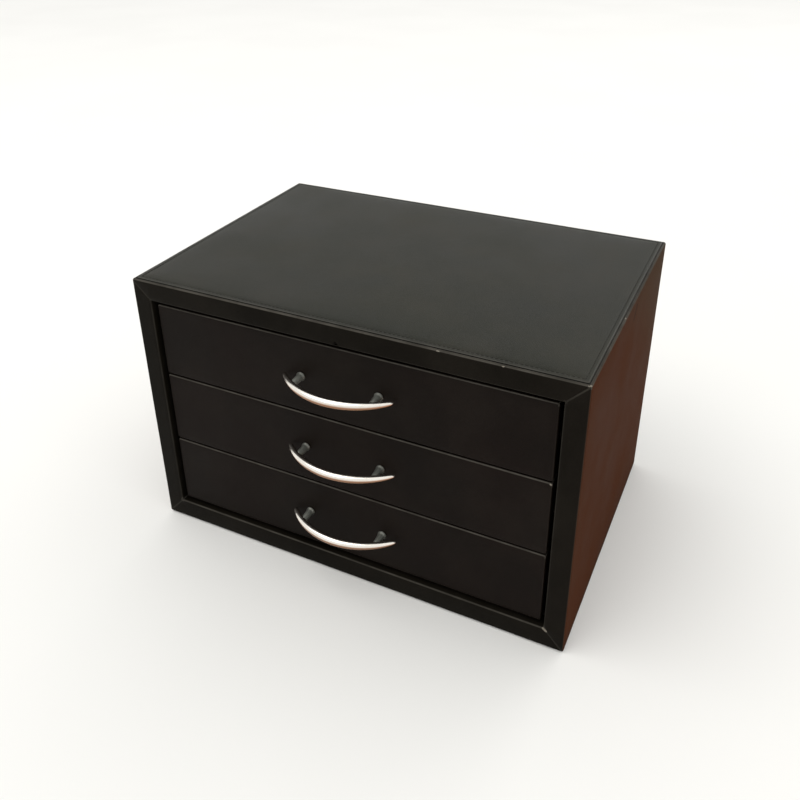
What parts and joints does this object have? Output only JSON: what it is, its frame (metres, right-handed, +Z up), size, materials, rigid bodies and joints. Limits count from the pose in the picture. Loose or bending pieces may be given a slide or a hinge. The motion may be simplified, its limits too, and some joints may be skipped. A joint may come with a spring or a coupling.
{
  "type": "jewelry chest with drawers",
  "caption": "Table-top jewelry chest: leather-covered box case with velvet-lined drawers that slide out on wooden side runners, each pulled by a metal bow handle.",
  "frame": {"origin": "centre of the case's underside, on the surface it stands on", "axes": "+Z up; +X to the right of somebody facing the drawers, along the width; the drawers open towards -Y"},
  "size_m": [0.36, 0.2656, 0.232],
  "materials": {
    "carcass_board": "bare fibreboard",
    "case_leather": "black faux leather, semi-gloss, worn at the corners",
    "drawer_leather": "black faux leather, semi-gloss",
    "top_leather": "black faux leather, stitched edge, worn sheen",
    "base_felt": "pressed felt",
    "runner_wood": "dark-stained hardwood, waxed",
    "drawer_box_board": "black-stained board",
    "lining_velvet": "short-pile velvet",
    "handle_chrome": "polished nickel plate",
    "screw_steel": "zinc-plated"
  },
  "bodies": {
    "case": {"top_board": "carcass_board", "bottom_board": "carcass_board", "left_board": "carcass_board", "right_board": "carcass_board", "back_board": "carcass_board", "top_edge_leather": "case_leather", "bottom_leather": "case_leather", "left_leather": "case_leather", "right_leather": "case_leather", "back_leather": "case_leather", "top_leather_panel": "top_leather", "base_felt": "base_felt", "drawer_1_left_runner": "runner_wood", "drawer_1_right_runner": "runner_wood", "drawer_2_left_runner": "runner_wood", "drawer_2_right_runner": "runner_wood", "drawer_3_left_runner": "runner_wood", "drawer_3_right_runner": "runner_wood", "left_runner_screws": "screw_steel", "right_runner_screws": "screw_steel"},
    "drawer_1": {"drawer_1_front_board": "carcass_board", "drawer_1_front_leather": "drawer_leather", "drawer_1_left_side": "drawer_box_board", "drawer_1_right_side": "drawer_box_board", "drawer_1_back": "drawer_box_board", "drawer_1_bottom": "drawer_box_board", "drawer_1_lining": "lining_velvet", "drawer_1_dividers": "lining_velvet", "drawer_1_handle": "handle_chrome", "drawer_1_handle_screws": "screw_steel", "drawer_1_ring_rolls": "lining_velvet"},
    "drawer_2": {"drawer_2_front_board": "carcass_board", "drawer_2_front_leather": "drawer_leather", "drawer_2_left_side": "drawer_box_board", "drawer_2_right_side": "drawer_box_board", "drawer_2_back": "drawer_box_board", "drawer_2_bottom": "drawer_box_board", "drawer_2_lining": "lining_velvet", "drawer_2_dividers": "lining_velvet", "drawer_2_handle": "handle_chrome", "drawer_2_handle_screws": "screw_steel"},
    "drawer_3": {"drawer_3_front_board": "carcass_board", "drawer_3_front_leather": "drawer_leather", "drawer_3_left_side": "drawer_box_board", "drawer_3_right_side": "drawer_box_board", "drawer_3_back": "drawer_box_board", "drawer_3_bottom": "drawer_box_board", "drawer_3_lining": "lining_velvet", "drawer_3_dividers": "lining_velvet", "drawer_3_handle": "handle_chrome", "drawer_3_handle_screws": "screw_steel"}
  },
  "joints": [
    {"name": "drawer_1_slide", "type": "slide", "parent": "case", "child": "drawer_1", "axis": [0, -1, 0], "range_m": [0, 0.16]},
    {"name": "drawer_2_slide", "type": "slide", "parent": "case", "child": "drawer_2", "axis": [0, -1, 0], "range_m": [0, 0.16]},
    {"name": "drawer_3_slide", "type": "slide", "parent": "case", "child": "drawer_3", "axis": [0, -1, 0], "range_m": [0, 0.16]}
  ]
}
